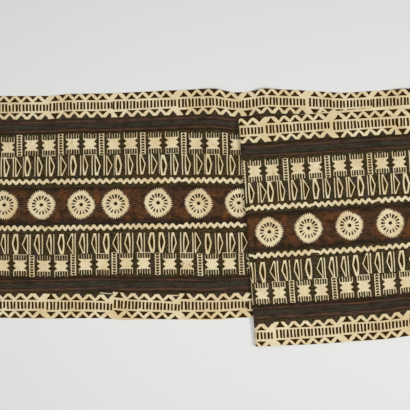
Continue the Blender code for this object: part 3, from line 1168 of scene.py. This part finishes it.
def brushedDye():
    # the tone follows the distance from the strip's middle, which the brush strays from
    look = brushedLook
    material, tree = newMaterial("brushed dye")
    cloth = addNode(tree, "ShaderNodeUVMap", {"uv_map": "clothMap"}).outputs[0]
    ways = addNode(tree, "ShaderNodeSeparateXYZ", links={"Vector": cloth}).outputs

    start, end = look["slideAlong"]
    limits = {"From Min": start, "From Max": end, "To Max": look["slide"]}
    slide = addNode(tree, "ShaderNodeMapRange", links={"Value": ways["X"], **limits})
    slid = addNode(tree, "ShaderNodeMath", {"operation": "ADD"}, {0: ways["Y"], 1: slide})
    apart = addNode(tree, "ShaderNodeMath", {"operation": "ABSOLUTE"}, {0: slid})
    near = addNode(tree, "ShaderNodeMath", {"operation": "LESS_THAN"}, {0: ways["Y"], 1: 0.0})
    (start, end), (first, later) = look["nearShiftAlong"], look["nearShift"]
    limits = {"From Min": start, "From Max": end, "To Min": first, "To Max": later}
    soft = {"interpolation_type": "SMOOTHSTEP"}
    shift = addNode(tree, "ShaderNodeMapRange", soft, {"Value": ways["X"], **limits})
    addUp = {"operation": "MULTIPLY_ADD"}
    distance = addNode(tree, "ShaderNodeMath", addUp, {0: near, 1: shift, 2: apart})
    spread = addNode(tree, "ShaderNodeMapping", links={"Vector": cloth, "Scale": look["swayWaves"]})
    sway = addNode(tree, "ShaderNodeTexNoise", links={"Vector": spread, "Scale": 1.0})
    swayed = addNode(tree, "ShaderNodeMath", addUp, {0: sway, 1: look["sway"], 2: distance})
    start, reach = look["sway"] / 2, look["reach"]
    limits = {"From Min": start, "From Max": start + reach}
    level = addNode(tree, "ShaderNodeMapRange", links={"Value": swayed, **limits})
    stops = [(apartMm * mm / reach, code) for apartMm, code in look["zones"]]
    colour = addNode(tree, "ShaderNodeValToRGB", links={"Fac": level}, stops=stops)
    outer, inner = look["middleTo"]
    limits = {"From Min": outer * mm, "From Max": inner * mm}
    middle = addNode(tree, "ShaderNodeMapRange", links={"Value": distance, **limits})
    sides = addNode(tree, "ShaderNodeMath", {"operation": "SUBTRACT"}, {0: 1.0, 1: middle})
    colour = layTones(tree, cloth, colour, look["middle"], middle)
    colour = layTones(tree, cloth, colour, look["sides"], sides)
    finishCloth(tree, cloth, colour, look["roughness"], 0.0)
    return material


def buildCloth():
    bark, dye = clothMaterial("undyed bark", barkLook), clothMaterial("stencil dye", stencilLook)
    ground, back = clothMaterial("ground dye", groundLook), clothMaterial("bare back", backLook)
    materials = [bark, dye, ground, brushedDye(), back]
    print("materials", ", ".join(material.name for material in materials))
    tree = stencilTree(bark, dye)
    shapes = groundShapes() + printShapes(tree)
    bpy.data.node_groups.remove(tree)
    cloth = barkCloth(materials, shapes)
    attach(cloth, "root")
    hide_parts("bark_cloth")


# A pale table, soft light from the right and the camera straight above, as in the picture.
studio = {
    "floorColour": "#E0E0DF",
    "floorReach": 6.0,
    "pictureWide": 0.820,  # metres of the table across the picture
    "lens": 85.0,
    "sensor": 36.0,
    "skyColour": "#FFFFFF",
    "skyStrength": 0.345,
}
# each soft lamp, by its place from the middle of the picture
lampRow = namedtuple("lampRow", "name x y height size power")
lamps = [
    lampRow("keyLamp", 1.58, -0.29, 1.56, 0.65, 21.3),
    lampRow("fillLamp", -0.37, -0.13, 1.46, 0.9, 10.9),
]


def buildStudio():
    floor = bpy.data.meshes.new("table")
    reach = studio["floorReach"]
    corners = [(-reach, -reach, 0), (reach, -reach, 0), (reach, reach, 0), (-reach, reach, 0)]
    floor.from_pydata(corners, [], [(0, 1, 2, 3)])
    table = addObject("table", floor)
    material, tree = newMaterial("table paint")
    shader = addNode(
        tree,
        "ShaderNodeBsdfPrincipled",
        links={"Base Color": linear(studio["floorColour"]), "Roughness": 0.9, "Specular IOR Level": 0.2},
    )
    addNode(tree, "ShaderNodeOutputMaterial", links={"Surface": shader})
    floor.materials.append(material)
    world = bpy.data.worlds.new("studio")
    world.use_nodes = True
    sky = world.node_tree.nodes["Background"]
    sky.inputs["Color"].default_value = linear(studio["skyColour"])
    sky.inputs["Strength"].default_value = studio["skyStrength"]
    bpy.context.scene.world = world
    middle = Vector((toSolid[0], toSolid[1], 0.0))
    for lamp in lamps:
        light = bpy.data.lights.new(lamp.name, "AREA")
        light.size = lamp.size
        light.energy = lamp.power
        ob = addObject(lamp.name, light)
        ob.location = middle + Vector((lamp.x, lamp.y, lamp.height))
        ob.rotation_euler = (middle - ob.location).to_track_quat("-Z", "Y").to_euler()
    camera = bpy.data.cameras.new("camera")
    camera.lens = studio["lens"]
    camera.sensor_width = studio["sensor"]
    eye = addObject("camera", camera)
    eye.location = middle + Vector((0, 0, studio["pictureWide"] * studio["lens"] / studio["sensor"]))
    bpy.context.scene.camera = eye
    bpy.context.scene.view_settings.view_transform = "Standard"
    print("studio with", len(lamps), "lamps")


buildCloth()
buildStudio()
print("scene ready")
